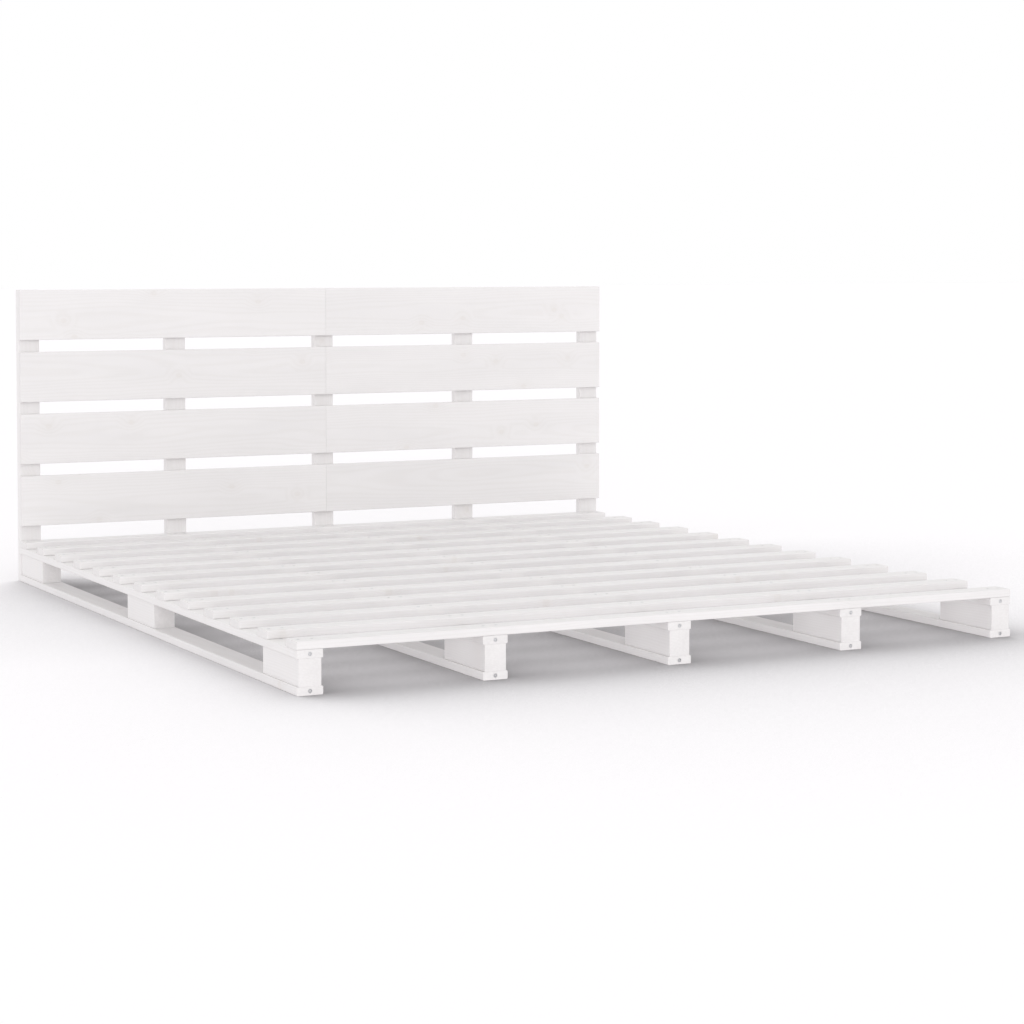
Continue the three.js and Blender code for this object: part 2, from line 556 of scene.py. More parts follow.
@dataclass(frozen=True)
class StudioFloor:
    """A matt, almost white studio floor, deeper in tone under and beside what stands on it.

    Light that it throws back as diffuse bounce keeps the bare floor's colour, without the painted
    shadow.

    Attributes:
        name: the material's name.
        tone: the floor's colour.
        painted_shadow_tone: the colour of the painted shadow, where the floor is quite covered.
        shade_aim: the way that covers are looked for in: up, on to the head end, and to the left.
        shade_reach: how far off something counts as a cover.
        shade_bend: how soon the shade deepens, as a power.
        shade_rays: how many rays look for covers.
        gloss: the range of roughness.
        specular: the strength of its reflection.
        cloud_fineness: the fineness of the roughness's unevenness per metre.
    """

    name: str = "studio_floor"
    tone: Colour = colour(0.985, 0.968, 0.985)
    painted_shadow_tone: Colour = colour(0.245, 0.237, 0.245)
    shade_aim: Triple = (-0.28, 0.735, 0.617)
    shade_reach: float = 1.5
    shade_bend: float = 1.7
    shade_rays: int = 12
    gloss: Span = (0.72, 0.8)
    specular: float = 0.15
    cloud_fineness: Triple = (3.0, 3.0, 3.0)

    def material(self) -> bpy.types.Material:
        """Builds the material.

        Returns:
            The material.
        """
        material, wiring, shader = new_material(self.name)
        place = wiring.node("ShaderNodeTexCoord").outputs["Object"]
        cloud = wiring.noise(place, self.cloud_fineness)
        aim = wiring.node("ShaderNodeCombineXYZ", dict(zip("XYZ", self.shade_aim)))
        search = {"Distance": self.shade_reach, "Normal": aim.outputs[0]}
        # Painted shadow: ambient occlusion finds covers, and the floor's colour is darkened towards
        # the shadow colour near them.
        cover = wiring.node("ShaderNodeAmbientOcclusion", search, samples=self.shade_rays)
        bare = wiring.maths("POWER", cover.outputs["AO"], self.shade_bend)
        # Diffuse bounce rays see the bare colour, so only camera rays and reflections see the
        # painted shadow.
        bounced = wiring.node("ShaderNodeLightPath").outputs["Is Diffuse Ray"]
        share = wiring.maths("MAXIMUM", bare, bounced)
        tone = wiring.blend(share, self.painted_shadow_tone, self.tone)
        wiring.feed(shader.inputs["Base Color"], tone)
        wiring.feed(shader.inputs["Specular IOR Level"], self.specular)
        wiring.feed(shader.inputs["Roughness"], wiring.spread(cloud, *NOISE_SPAN, self.gloss))
        return material


def new_object(name: str, mesh: bpy.types.Mesh) -> bpy.types.Object:
    """Makes an object of a mesh and links it into the scene.

    Args:
        name: the object's name.
        mesh: its mesh.

    Returns:
        The object.
    """
    made = bpy.data.objects.new(name, mesh)
    bpy.context.scene.collection.objects.link(made)
    return made


def close_shell(name: str, shell: Shell) -> bpy.types.Object:
    """Makes an object of a mesh under construction, and frees the latter.

    Args:
        name: the object's name.
        shell: the mesh under construction.

    Returns:
        The object.
    """
    mesh = bpy.data.meshes.new(name)
    shell.to_mesh(mesh)
    shell.free()
    return new_object(name, mesh)


def settle(made: bpy.types.Object) -> bpy.types.Object:
    """Replaces an object's mesh by its evaluated one, without modifiers.

    Args:
        made: the object whose modifiers are to be applied.

    Returns:
        The same object with a plain mesh.
    """
    graph = bpy.context.evaluated_depsgraph_get()
    mesh = bpy.data.meshes.new_from_object(
        made.evaluated_get(graph), preserve_all_data_layers=True, depsgraph=graph
    )
    before = made.data
    made.modifiers.clear()
    made.data = mesh
    mesh.name = made.name
    bpy.data.meshes.remove(before)
    return made


def discard(objects: Iterable[bpy.types.Object]) -> None:
    """Removes objects that were only needed to make others.

    Args:
        objects: the objects, which go with their meshes.
    """
    for spare in objects:
        mesh = spare.data
        bpy.data.objects.remove(spare)
        bpy.data.meshes.remove(mesh)


def smooth(mesh: bpy.types.Mesh, crease: float) -> None:
    """Shades a mesh smooth, but for edges that are sharper than a crease angle."""
    mesh.shade_smooth()
    mesh.set_sharp_from_angle(angle=crease)


def heading(angle: float) -> Vector:
    """Returns the flat unit vector at an angle."""
    return Vector((math.cos(angle), math.sin(angle)))


def ring(
    shell: Shell,
    angles: Sequence[float],
    radii: Sequence[float],
    height: float,
    frame: Matrix | None = None,
) -> Ring:
    """Adds one vertex for each angle round the Z axis.

    Args:
        shell: the mesh that takes the vertices.
        angles: the angles.
        radii: the radius at each.
        height: their height.
        frame: a matrix that is applied to them, if any.

    Returns:
        The vertices.
    """
    points = [(radius * heading(angle)).to_3d() for angle, radius in zip(angles, radii)]
    lift = Vector((0, 0, height))
    return [shell.verts.new((frame or Matrix()) @ (point + lift)) for point in points]


def circle(
    shell: Shell, steps: int, radius: float, height: float, frame: Matrix | None = None
) -> Ring:
    """Adds an even ring of vertices round the Z axis and returns it."""
    angles = [math.tau * step / steps for step in range(steps)]
    return ring(shell, angles, [radius] * steps, height, frame)


def bridge(shell: Shell, lower: Ring, upper: Ring) -> None:
    """Joins two rings of equal count with quads that face away from their middle.

    Args:
        shell: the mesh that takes the quads.
        lower: the ring that lies lower when both turn to the left.
        upper: the other ring.
    """
    count = len(lower)
    for i in range(count):
        j = (i + 1) % count
        shell.faces.new((lower[i], lower[j], upper[j], upper[i]))


@dataclass(frozen=True)
class Hole:
    """A round hole in a board, turned from a profile.

    Attributes:
        mouth: the middle of the hole's mouth, in the board's own axes.
        outward: the way out of the hole.
        profile: pairs of radius and depth, from the mouth inwards.
        steps: how many facets go round it.
    """

    mouth: Vector
    outward: Vector
    profile: Profile
    steps: int = 24

    def add_cutter(self, shell: Shell) -> None:
        """Adds the closed solid that cuts this hole.

        Args:
            shell: the mesh that takes the solid.
        """
        turn = Vector((0, 0, 1)).rotation_difference(self.outward).to_matrix().to_4x4()
        frame = Matrix.Translation(self.mouth) @ turn
        levels = [(self.profile[0][0], -OVERRUN), *self.profile]
        rings = [circle(shell, self.steps, radius, -depth, frame) for radius, depth in levels]
        for upper, lower in zip(rings, rings[1:]):
            bridge(shell, lower, upper)
        shell.faces.new(rings[0])
        shell.faces.new(reversed(rings[-1]))


@dataclass(frozen=True)
class Timber:
    """A planed board with rounded long edges and eased ends, made along X with its face side up.

    Attributes:
        length: its size along the grain.
        width: its size across the grain.
        thickness: its size through the face.
        edge_radius: the rounding of the four long edges.
        end_ease: the rounding of the sawn ends' rims.
        rounding_steps: how many facets each rounding takes.
        support: the width of the flat strips that keep shading off the faces.
        crease: the angle up to which edges are shaded smooth.
    """

    length: float
    width: float
    thickness: float
    edge_radius: float = 2 * MM
    end_ease: float = 0.6 * MM
    rounding_steps: int = 4
    support: float = 0.4 * MM
    crease: float = math.radians(26)

    def _section(self, inset: float) -> list[Vector]:
        """Draws the section's outline, from its corner at +Y and +Z on.

        Args:
            inset: how far it is drawn in.

        Returns:
            The outline's points.
        """
        side = self.width / 2 - self.edge_radius
        face = self.thickness / 2 - self.edge_radius
        reach = self.edge_radius - inset
        centres = [(side, face), (-side, face), (-side, -face), (side, -face)]
        outline = []
        for corner, centre in enumerate(centres):
            angles = [
                QUARTER_TURN * (corner + step / self.rounding_steps)
                for step in range(self.rounding_steps + 1)
            ]
            arc = [Vector(centre) + reach * heading(angle) for angle in angles]
            before = arc[0] - self.support * heading(angles[0] + QUARTER_TURN)
            after = arc[-1] + self.support * heading(angles[-1] + QUARTER_TURN)
            outline += [before, *arc, after]
        return outline

    def _stations(self) -> list[tuple[float, float]]:
        """Sets the sections along the board.

        Returns:
            Places along X with their section's inset, from one end to the other.
        """
        start = self.length / 2 - self.end_ease
        half = [(start - self.support, 0.0)]
        for step in range(self.rounding_steps + 1):
            bend = heading(QUARTER_TURN * step / self.rounding_steps)
            half.append((start + self.end_ease * bend.y, self.end_ease * (1 - bend.x)))
        return [(-place, inset) for place, inset in reversed(half)] + half

    def build(self, name: str, lay: Lay, holes: Sequence[Hole] = ()) -> bpy.types.Object:
        """Makes the board.

        Args:
            name: the object's name.
            lay: how the board lies in the bed.
            holes: the holes to cut into it.

        Returns:
            An object at the origin, whose mesh marks sawn ends in its attribute sawn.
        """
        shell = bmesh.new()
        rings = [
            [shell.verts.new((x, *point)) for point in self._section(inset)]
            for x, inset in self._stations()
        ]
        for near, far in zip(rings, rings[1:]):
            bridge(shell, near, far)
        shell.faces.new(reversed(rings[0]))
        shell.faces.new(rings[-1])
        board = close_shell(name, shell)
        if holes:
            self._cut(board, holes)
        smooth(board.data, self.crease)
        self._mark_ends(board.data)
        board.data.transform(lay.turn())
        return board

    def _cut(self, board: bpy.types.Object, holes: Sequence[Hole]) -> None:
        """Cuts holes with one boolean.

        Args:
            board: the board that is cut.
            holes: the holes.
        """
        shell = bmesh.new()
        for hole in holes:
            hole.add_cutter(shell)
        cutter = close_shell("cutter", shell)
        boolean = board.modifiers.new("holes", "BOOLEAN")
        boolean.operation = "DIFFERENCE"
        boolean.solver = "EXACT"
        boolean.object = cutter
        settle(board)
        discard([cutter])

    def _mark_ends(self, mesh: bpy.types.Mesh) -> None:
        """Marks the faces that look along the board as sawn.

        Args:
            mesh: the board's mesh, which gets the attribute.
        """
        sawn = mesh.attributes.new("sawn", "FLOAT", "FACE")
        for face, mark in zip(mesh.polygons, sawn.data):
            mark.value = float(abs(face.normal.x) > SAWN_SLANT)


@dataclass(frozen=True)
class Screw:
    """What all screws share: a turned body with its head's seat or face at the origin, looking up.

    Attributes:
        head_radius: the head's radius.
        shank_radius: the shank's radius.
        length: the length below the origin.
        crease: the angle up to which edges are shaded smooth.
    """

    head_radius: float = 4.0 * MM
    shank_radius: float = 1.8 * MM
    length: float = 30 * MM
    crease: float = math.radians(34)

    def build(self, name: str) -> bpy.types.Object:
        """Makes the screw.

        Args:
            name: the object's name.

        Returns:
            An object at the origin.
        """
        shell = bmesh.new()
        self._shape(shell)
        bmesh.ops.recalc_face_normals(shell, faces=shell.faces)
        made = close_shell(name, shell)
        smooth(made.data, self.crease)
        return made

    def _shape(self, shell: Shell) -> None:
        """Adds the screw's faces."""
        raise NotImplementedError


@dataclass(frozen=True)
class WoodScrew(Screw):
    """A countersunk wood screw with a cross recess, its head's face at the origin.

    Attributes:
        head_depth: how deep its cone goes.
        slot_reach: how far the recess's arms reach from the middle.
        slot_depth: how deep the recess is.
        sink: how far its head lies under the wood.
        clearance: the room that its hole leaves round it.
    """

    head_depth: float = 2.6 * MM
    slot_reach: float = 2.4 * MM
    slot_depth: float = 1.9 * MM
    sink: float = 0.25 * MM
    clearance: float = 0.25 * MM

    def _shape(self, shell: Shell) -> None:
        """Adds the cone, the shank and the cross recess.

        Each arm of the recess has two corners, half a step to either side of its middle, and shares
        the notches beside it with its neighbours.

        Args:
            shell: the mesh that takes the faces.
        """
        count = RECESS_POINTS
        angles = [math.tau * (step + 1 / 2) / count for step in range(count)]
        rim = ring(shell, angles, [self.head_radius] * count, 0.0)
        neck = ring(shell, angles, [self.shank_radius] * count, -self.head_depth)
        foot = ring(shell, angles, [self.shank_radius] * count, -self.length)
        arm = self.slot_reach / math.cos(angles[0])
        notch = self.slot_reach * math.tan(angles[0]) * math.sqrt(2)
        recess = ring(shell, angles, [arm, notch, arm] * (count // 3), 0.0)
        for lower, upper in ((rim, recess), (neck, rim), (foot, neck)):
            bridge(shell, lower, upper)
        shell.faces.new(reversed(foot))
        deepest = shell.verts.new((0.0, 0.0, -self.slot_depth))
        for i in range(count):
            shell.faces.new((deepest, recess[i], recess[(i + 1) % count]))

    def countersink(self, thickness: float) -> Profile:
        """Draws the hole that takes this screw.

        Args:
            thickness: the thickness of the board that it goes through.

        Returns:
            The hole's profile.
        """
        rim = self.head_radius + self.clearance
        shank = self.shank_radius + self.clearance
        cone_end = self.sink + self.head_depth
        return (rim, 0.0), (rim, self.sink), (shank, cone_end), (shank, thickness + OVERRUN)


@dataclass(frozen=True)
class CoachScrew(Screw):
    """A flat-headed screw with a hexagon socket, its seat at the origin.

    Attributes:
        head_height: how high the head stands.
        tip: the length of the pointed end.
        socket_radius: the socket's radius over its corners.
        socket_depth: how deep the socket is.
        crown: how much the head's rim is rounded.
        crown_steps: how many facets that rounding takes.
        steps: how many facets go round the screw, a multiple of six.
    """

    head_height: float = 3.2 * MM
    tip: float = 9 * MM
    socket_radius: float = 3.5 * MM
    socket_depth: float = 2.4 * MM
    crown: float = 1.0 * MM
    crown_steps: int = 4
    steps: int = 36

    def _shape(self, shell: Shell) -> None:
        """Adds the shank, the crowned head and the socket.

        Args:
            shell: the mesh that takes the faces.
        """
        levels = [
            (self.shank_radius, self.tip - self.length),
            (self.shank_radius, 0.0),
            (self.head_radius, 0.0),
        ]
        for step in range(self.crown_steps + 1):
            bend = heading(QUARTER_TURN * step / self.crown_steps)
            drawn_in, left = self.crown * (1 - bend.x), self.crown * (1 - bend.y)
            levels.append((self.head_radius - drawn_in, self.head_height - left))
        rings = [circle(shell, self.steps, radius, height) for radius, height in levels]
        point = shell.verts.new((0.0, 0.0, -self.length))
        for i in range(self.steps):
            shell.faces.new((point, rings[0][(i + 1) % self.steps], rings[0][i]))
        for lower, upper in zip(rings, rings[1:]):
            bridge(shell, lower, upper)
        self._sink_socket(shell, rings[-1])

    def _sink_socket(self, shell: Shell, rim: Ring) -> None:
        """Closes the head's top round its hexagon socket.

        Args:
            shell: the mesh that takes the faces.
            rim: the top's rim.
        """
        sixth = math.tau / 6
        flat = self.socket_radius * math.cos(sixth / 2)
        angles = [math.tau * step / self.steps for step in range(self.steps)]
        radii = [flat / math.cos(angle % sixth - sixth / 2) for angle in angles]
        mouth = ring(shell, angles, radii, self.head_height)
        floor = ring(shell, angles, radii, self.head_height - self.socket_depth)
        bridge(shell, rim, mouth)
        bridge(shell, mouth, floor)
        shell.faces.new(floor)


class CopiesTree:
    """A tree that sets copies of a template, keeps each one's place and luck, and dresses them.

    Attributes:
        name: the tree's name.
        own_inputs: the names and types of the inputs that this tree alone has.
        takes_places: whether the places are given as points.
        tree: the node tree.
        wiring: its wiring.
        sockets: the identifier of each input.
        given: the inputs' sockets inside the tree.
    """

    name = "copies"
    own_inputs: tuple[tuple[str, str], ...] = ()
    takes_places = False

    def __init__(self) -> None:
        """Builds the tree."""
        self.tree = bpy.data.node_groups.new(self.name, "GeometryNodeTree")
        self.wiring = Wiring(self.tree)
        self.sockets: dict[str, str] = {}
        if self.takes_places:
            self._declare("Places", "NodeSocketGeometry")
        self._declare("Template", "NodeSocketObject")
        self._declare("Finish", "NodeSocketMaterial")
        self._declare("Seed", "NodeSocketInt")
        for name, kind in self.own_inputs:
            self._declare(name, kind)
        self.tree.interface.new_socket(
            name="Copies", in_out="OUTPUT", socket_type="NodeSocketGeometry"
        )
        self.given = self.wiring.node("NodeGroupInput").outputs
        self.lay_out()

    def _declare(self, name: str, kind: str) -> None:
        """Adds a named input to the tree."""
        made = self.tree.interface.new_socket(name=name, in_out="INPUT", socket_type=kind)
        self.sockets[name] = made.identifier

    def lay_out(self) -> None:
        """Adds the tree's own nodes."""
        raise NotImplementedError

    def _set_copies(self, places: Socket, turn: Socket | Triple = Facing.UP.value) -> None:
        """Adds the nodes that set one copy on each place, make them real and dress them.

        Args:
            places: the geometry whose points are the places.
            turn: each copy's rotation.
        """
        template = self.wiring.node("GeometryNodeObjectInfo", {"Object": self.given["Template"]})
        inputs = {"Points": places, "Instance": template.outputs["Geometry"], "Rotation": turn}
        copies = self.wiring.node("GeometryNodeInstanceOnPoints", inputs).outputs["Instances"]
        position = self.wiring.node("GeometryNodeInputPosition").outputs[0]
        copies = self._keep("home", position, copies)
        inputs = {"Seed": self.given["Seed"]}
        luck = self.wiring.node("FunctionNodeRandomValue", inputs, data_type="FLOAT_VECTOR")
        copies = self._keep("luck", luck.outputs[0], copies)
        real = self.wiring.node("GeometryNodeRealizeInstances", {"Geometry": copies})
        inputs = {"Geometry": real.outputs["Geometry"], "Material": self.given["Finish"]}
        dressed = self.wiring.node("GeometryNodeSetMaterial", inputs)
        self.wiring.node("NodeGroupOutput", {"Copies": dressed.outputs["Geometry"]})

    def _keep(self, name: str, value: Socket, copies: Socket) -> Socket:
        """Adds a node that keeps a vector on each copy.

        Args:
            name: the name of the attribute.
            value: the vector.
            copies: the copies.

        Returns:
            The copies with the attribute.
        """
        node = self.wiring.node(
            "GeometryNodeStoreNamedAttribute",
            {"Geometry": copies, "Name": name},
            data_type="FLOAT_VECTOR",
            domain="INSTANCE",
        )
        self.wiring.feed(node.inputs["Value"], value)
        return node.outputs["Geometry"]

    def run(self, name: str, places: bpy.types.Mesh, **values: object) -> bpy.types.Object:
        """Runs the tree once.

        Args:
            name: the name of the piece that it makes.
            places: the mesh that the modifier sits on.
            values: the tree's inputs, by name.

        Returns:
            The piece, as a plain mesh at the origin.
        """
        made = new_object(name, places)
        modifier = made.modifiers.new(self.name, "NODES")
        modifier.node_group = self.tree
        for key, value in values.items():
            modifier[self.sockets[key]] = value
        return settle(made)


class RowTree(CopiesTree):
    """Sets copies in one straight, even row."""

    name = "even_row"
    own_inputs = (
        ("Count", "NodeSocketInt"),
        ("First", "NodeSocketVector"),
        ("Pitch", "NodeSocketVector"),
    )

    def lay_out(self) -> None:
        """Adds the row's line of points and its copies."""
        row = {"Count": "Count", "Start Location": "First", "Offset": "Pitch"}
        inputs = {entry: self.given[name] for entry, name in row.items()}
        line = self.wiring.node("GeometryNodeMeshLine", inputs)
        self._set_copies(line.outputs["Mesh"])


class FieldTree(CopiesTree):
    """Sets copies on marked places, each turned as its place says and spun about its own axis."""

    name = "marked_places"
    own_inputs = (("Spin", "NodeSocketFloat"),)
    takes_places = True

    def lay_out(self) -> None:
        """Adds the turned copies."""
        node = self.wiring.node
        turn = node("GeometryNodeInputNamedAttribute", {"Name": "turn"}, data_type="FLOAT_VECTOR")
        facing = node("FunctionNodeEulerToRotation", {"Euler": turn.outputs[0]})
        inputs = {RANDOM_MOST: self.given["Spin"], "Seed": self.given["Seed"]}
        angle = node("FunctionNodeRandomValue", inputs, data_type="FLOAT")
        inputs = {"Axis": (0.0, 0.0, 1.0), "Angle": angle.outputs[RANDOM_NUMBER]}
        spin = node("FunctionNodeAxisAngleToRotation", inputs)
        inputs = {"Rotation": facing.outputs[0], "Rotate By": spin.outputs[0]}
        turned = node("FunctionNodeRotateRotation", inputs, rotation_space="LOCAL")
        self._set_copies(self.given["Places"], turned.outputs[0])


@dataclass(frozen=True)
class Mark:
    """A place for one copy.

    Attributes:
        place: where the copy goes.
        facing: the way that it looks.
    """

    place: Vector
    facing: Facing = Facing.UP


@dataclass(frozen=True)
class Batch:
    """What a piece that is made of copies is called and stands for.

    Attributes:
        name: the piece's name.
        seed: the number that its copies' luck is drawn from.
        nodes: the CAD nodes that it replaces.
    """

    name: str
    seed: int
    nodes: Sequence[str] = ()


def place_mesh(marks: Sequence[Mark]) -> bpy.types.Mesh:
    """Makes a mesh of loose points with the attribute turn.

    Args:
        marks: the marks, each of which gives a point.

    Returns:
        The mesh.
    """
    mesh = bpy.data.meshes.new("places")
    mesh.from_pydata([tuple(mark.place) for mark in marks], [], [])
    turn = mesh.attributes.new("turn", "FLOAT_VECTOR", "POINT")
    for value, mark in zip(turn.data, marks):
        value.vector = mark.facing.value
    return mesh


@dataclass
class Workshop:
    """What every sub-assembly uses: the trees and the finishes.

    Attributes:
        row: the tree for even rows.
        field: the tree for marked places.
        pine: the painted finish for each lay.
        zinc: the finish of the screws.
    """

    row: RowTree
    field: FieldTree
    pine: dict[Lay, bpy.types.Material]
    zinc: bpy.types.Material

    @classmethod
    def open(cls) -> "Workshop":
        """Builds the trees and finishes and returns the workshop."""
        pine = {lay: PaintedPine(lay).material() for lay in Lay}
        return cls(RowTree(), FieldTree(), pine, ZincPlate().material())

    def hand_over(self, piece: bpy.types.Object, nodes: Sequence[str]) -> None:
        """Fixes a finished piece to the frame.

        Args:
            piece: the finished piece.
            nodes: the CAD nodes that it replaces.
        """
        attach(piece, BODY)
        if nodes:
            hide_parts(*nodes)
        faces = len(piece.data.polygons)
        LOG.info("%s: %d faces, replaces %d nodes", piece.name, faces, len(nodes))

    def copy_boards(self, batch: Batch, board: bpy.types.Object, lay: Lay) -> None:
        """Sets a copy of a board on the place of each of the batch's nodes and hands them over.

        Args:
            batch: the piece's name, seed and nodes.
            board: the template, which is used up.
            lay: how the boards lie.
        """
        places = place_mesh([Mark(middle(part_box(node))) for node in batch.nodes])
        piece = self.field.run(
            batch.name, places, Template=board, Finish=self.pine[lay], Seed=batch.seed
        )
        discard([board])
        self.hand_over(piece, batch.nodes)

    def drive_screws(self, batch: Batch, screw: Screw, marks: Sequence[Mark]) -> None:
        """Sets a screw on each mark, each turned as chance has it, and hands them over.

        Args:
            batch: the piece's name, seed and nodes.
            screw: the screw.
            marks: where the screws go and look.
        """
        template = screw.build(f"{batch.name}_template")
        piece = self.field.run(
            batch.name,
            place_mesh(marks),
            Template=template,
            Finish=self.zinc,
            Seed=batch.seed,
            Spin=math.tau,
        )
        discard([template])
        self.hand_over(piece, batch.nodes)


def middle(box: Box) -> Vector:
    """Returns the middle of a box."""
    return (box[0] + box[1]) / 2


def extent(box: Box) -> Vector:
    """Returns the size of a box."""
    return box[1] - box[0]


@dataclass
class Runners:
    """Five box runners: bottom rail, foot, middle and head block, top rail.

    Attributes:
        block_edge_radius: the rounding of the blocks' long edges.
        recess_radius: the radius of the round recess in a rail's foot end.
        recess_depth: how deep it is.
        bore_radius: the radius of the bore in a head block.
        bore_depth: how deep it is.
        screw: the screw that holds a rail to a block.
        screw_offset: how far a block's screws stand from its middle.
        end_screw: the screw in a rail's foot end.
    """

    block_edge_radius: float = 1 * MM
    recess_radius: float = 4.5 * MM
    recess_depth: float = 1.2 * MM
    bore_radius: float = 4.5 * MM
    bore_depth: float = 65 * MM
    screw: WoodScrew = WoodScrew(length=38 * MM)
    screw_offset: float = 60 * MM
    end_screw: WoodScrew = WoodScrew(
        head_radius=4.25 * MM,
        shank_radius=2.2 * MM,
        length=50 * MM,
        head_depth=2.2 * MM,
        slot_reach=2.8 * MM,
        slot_depth=2.4 * MM,
        sink=0.4 * MM,
    )

    def build(self, shop: Workshop) -> None:
        """Makes the rails, the blocks and their screws.

        Args:
            shop: the workshop.
        """
        self._rails(shop, "bottom_rail", Facing.DOWN, seed=12)
        self._rails(shop, "top_rail", Facing.UP, seed=9)
        self._blocks(shop, "foot_block", (), seed=11)
        self._blocks(shop, "middle_block", (), seed=13)
        self._blocks(shop, "head_block", self._bore(), seed=14)
        self._block_screws(shop)
        self._foot_end_screws(shop)

    @staticmethod
    def nodes(part: str) -> list[str]:
        """Returns the names of one kind of runner part, from left to right."""
        return [f"runner_{i + 1}_{part}" for i in range(RUNNER_COUNT)]

    def _screw_places(self) -> list[float]:
        """Finds the screws that hold the blocks.

        Returns:
            Their places along Y.
        """
        centres = [
            middle(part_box(f"runner_1_{part}_block")).y for part in ("foot", "middle", "head")
        ]
        return [y + side * self.screw_offset for y in centres for side in (-1, 1)]

    def _rails(self, shop: Workshop, part: str, facing: Facing, seed: int) -> None:
        """Makes one layer of rails.

        Args:
            shop: the workshop.
            part: the rails' part name.
            facing: the way that the heads of their screws look.
            seed: the seed of their luck.
        """
        nodes = self.nodes(part)
        size, centre = extent(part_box(nodes[0])), middle(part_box(nodes[0]))
        side = 1 if facing is Facing.UP else -1
        outward = Vector((0, 0, side))
        profile = self.screw.countersink(size.z)
        holes = [
            Hole(Vector((y - centre.y, 0, side * size.z / 2)), outward, profile)
            for y in self._screw_places()
        ]
        recess = ((self.recess_radius, 0.0), (self.recess_radius, self.recess_depth))
        holes.append(Hole(Vector((-size.y / 2, 0, 0)), Vector((-1, 0, 0)), recess))
        rail = Timber(size.y, size.x, size.z).build(part, Lay.RAIL, holes)
        shop.copy_boards(Batch(f"{part}s", seed, nodes), rail, Lay.RAIL)

    def _bore(self) -> list[Hole]:
        """Draws the bore for an upright's coach screw.

        Returns:
            The bore, as a head block's only hole.
        """
        profile = ((self.bore_radius, 0.0), (self.bore_radius, self.bore_depth))
        mouth = Vector((extent(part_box("runner_1_head_block")).y / 2, 0, 0))
        return [Hole(mouth, Vector((1, 0, 0)), profile)]

    def _blocks(self, shop: Workshop, part: str, holes: Sequence[Hole], seed: int) -> None:
        """Makes one row of blocks.

        Args:
            shop: the workshop.
            part: the blocks' part name.
            holes: their holes.
            seed: the seed of their luck.
        """
        nodes = self.nodes(part)
        size = extent(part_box(nodes[0]))
        timber = Timber(size.y, size.x, size.z, self.block_edge_radius)
        block = timber.build(part, Lay.RAIL, holes)
        shop.copy_boards(Batch(f"{part}s", seed, nodes), block, Lay.RAIL)

    def _block_screws(self, shop: Workshop) -> None:
        """Drives the screws that hold the rails to the blocks, from above and from below.

        Args:
            shop: the workshop.
        """
        marks = []
        for part, edge, facing in (("top_rail", 1, Facing.UP), ("bottom_rail", 0, Facing.DOWN)):
            for name in self.nodes(part):
                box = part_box(name)
                inward = math.copysign(self.screw.sink, middle(box).z - box[edge].z)
                marks += [
                    Mark(Vector((middle(box).x, y, box[edge].z + inward)), facing)
                    for y in self._screw_places()
                ]
        shop.drive_screws(Batch("block_screws", seed=12), self.screw, marks)

    def _foot_end_screws(self, shop: Workshop) -> None:
        """Drives the screws in the rails' foot ends.

        Args:
            shop: the workshop.
        """
        marks = []
        for name in self.nodes("bottom_rail") + self.nodes("top_rail"):
            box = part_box(name)
            head = box[0].y + self.end_screw.sink
            marks.append(Mark(Vector((middle(box).x, head, middle(box).z)), Facing.TO_FOOT))
        shop.drive_screws(Batch("foot_end_screws", seed=15), self.end_screw, marks)


@dataclass
class Deck:
    """Thirteen slats across the runners, each screwed twice to every top rail.

    Attributes:
        screw: the screw that holds a slat.
        screw_half_gap: half the distance between the two screws at a crossing.
    """

    screw: WoodScrew = WoodScrew(length=32 * MM)
    screw_half_gap: float = 15 * MM

    def build(self, shop: Workshop) -> None:
        """Makes the slats and their screws.

        Args:
            shop: the workshop.
        """
        nodes = [f"deck_slat_{i + 1:02d}" for i in range(SLAT_COUNT)]
        centres = [middle(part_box(name)) for name in nodes]
        crossings = [middle(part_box(name)).x for name in Runners.nodes("top_rail")]
        across = [x + side * self.screw_half_gap for x in crossings for side in (-1, 1)]
        self._slats(shop, Batch("deck_slats", seed=7, nodes=nodes), centres, across)
        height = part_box(nodes[0])[1].z - self.screw.sink
        marks = [Mark(Vector((x, centre.y, height))) for centre in centres for x in across]
        shop.drive_screws(Batch("deck_screws", seed=11), self.screw, marks)

    def _slats(
        self, shop: Workshop, batch: Batch, centres: Sequence[Vector], across: Sequence[float]
    ) -> None:
        """Makes the row of slats.

        Args:
            shop: the workshop.
            batch: the piece's name, seed and nodes.
            centres: the slats' middles.
            across: the places of a slat's screws along X.
        """
        nodes = batch.nodes
        size = extent(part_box(nodes[0]))
        profile = self.screw.countersink(size.z)
        up = Vector((0, 0, 1))
        holes = [Hole(Vector((x, 0, size.z / 2)), up, profile) for x in across]
        slat = Timber(size.x, size.y, size.z).build("slat", Lay.SLAT, holes)
        piece = shop.row.run(
            batch.name,
            bpy.data.meshes.new("row"),
            Template=slat,
            Finish=shop.pine[Lay.SLAT],
            Seed=batch.seed,
            Count=len(centres),
            First=tuple(centres[0]),
            Pitch=tuple((centres[-1] - centres[0]) / (len(centres) - 1)),
        )
        discard([slat])
        shop.hand_over(piece, nodes)


